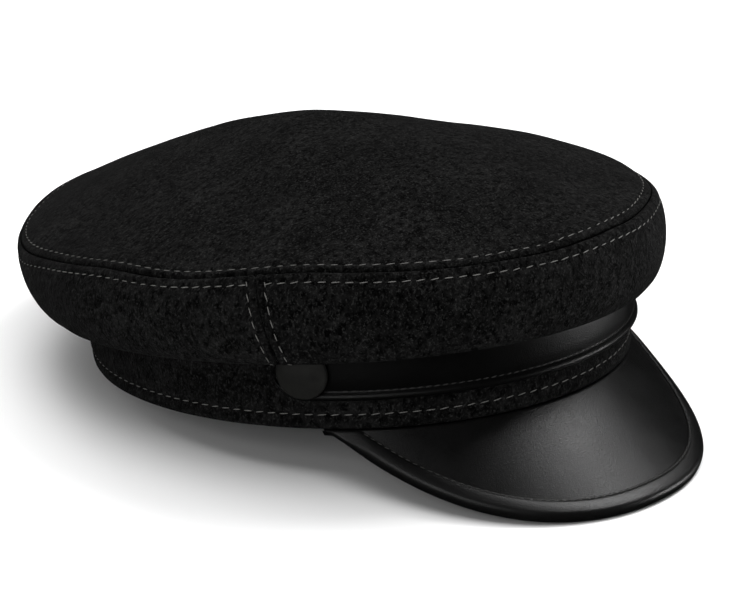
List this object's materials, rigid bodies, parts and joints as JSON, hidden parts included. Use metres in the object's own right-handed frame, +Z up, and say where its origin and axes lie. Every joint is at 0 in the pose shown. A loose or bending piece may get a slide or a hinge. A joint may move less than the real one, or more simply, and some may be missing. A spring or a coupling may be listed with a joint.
{
  "type": "peaked cap",
  "caption": "Soft oval wool cap with an overhanging crown, upright band, leather front strap between metal buttons and a curved leather peak.",
  "frame": {"origin": "middle of the footprint on the surface that the cap rests on", "axes": "-Y to the front, where the peak points; +X to the wearer's left; +Z up. The cap leans back about 7 degrees, as it rests"},
  "size_m": [0.2044, 0.277, 0.0935],
  "materials": {
    "wool": "brushed melton wool, matte",
    "strap_leather": "smooth, semi-gloss",
    "peak_leather": "smooth with a fine grain, semi-gloss",
    "button_metal": "satin gunmetal"
  },
  "bodies": {
    "root": {"head_band": "wool", "crown_top": "wool", "crown_front": "wool", "crown_back": "wool", "chin_strap": "strap_leather", "button_right": "button_metal", "button_left": "button_metal", "peak": "peak_leather", "peak_binding": "peak_leather"}
  },
  "joints": []
}
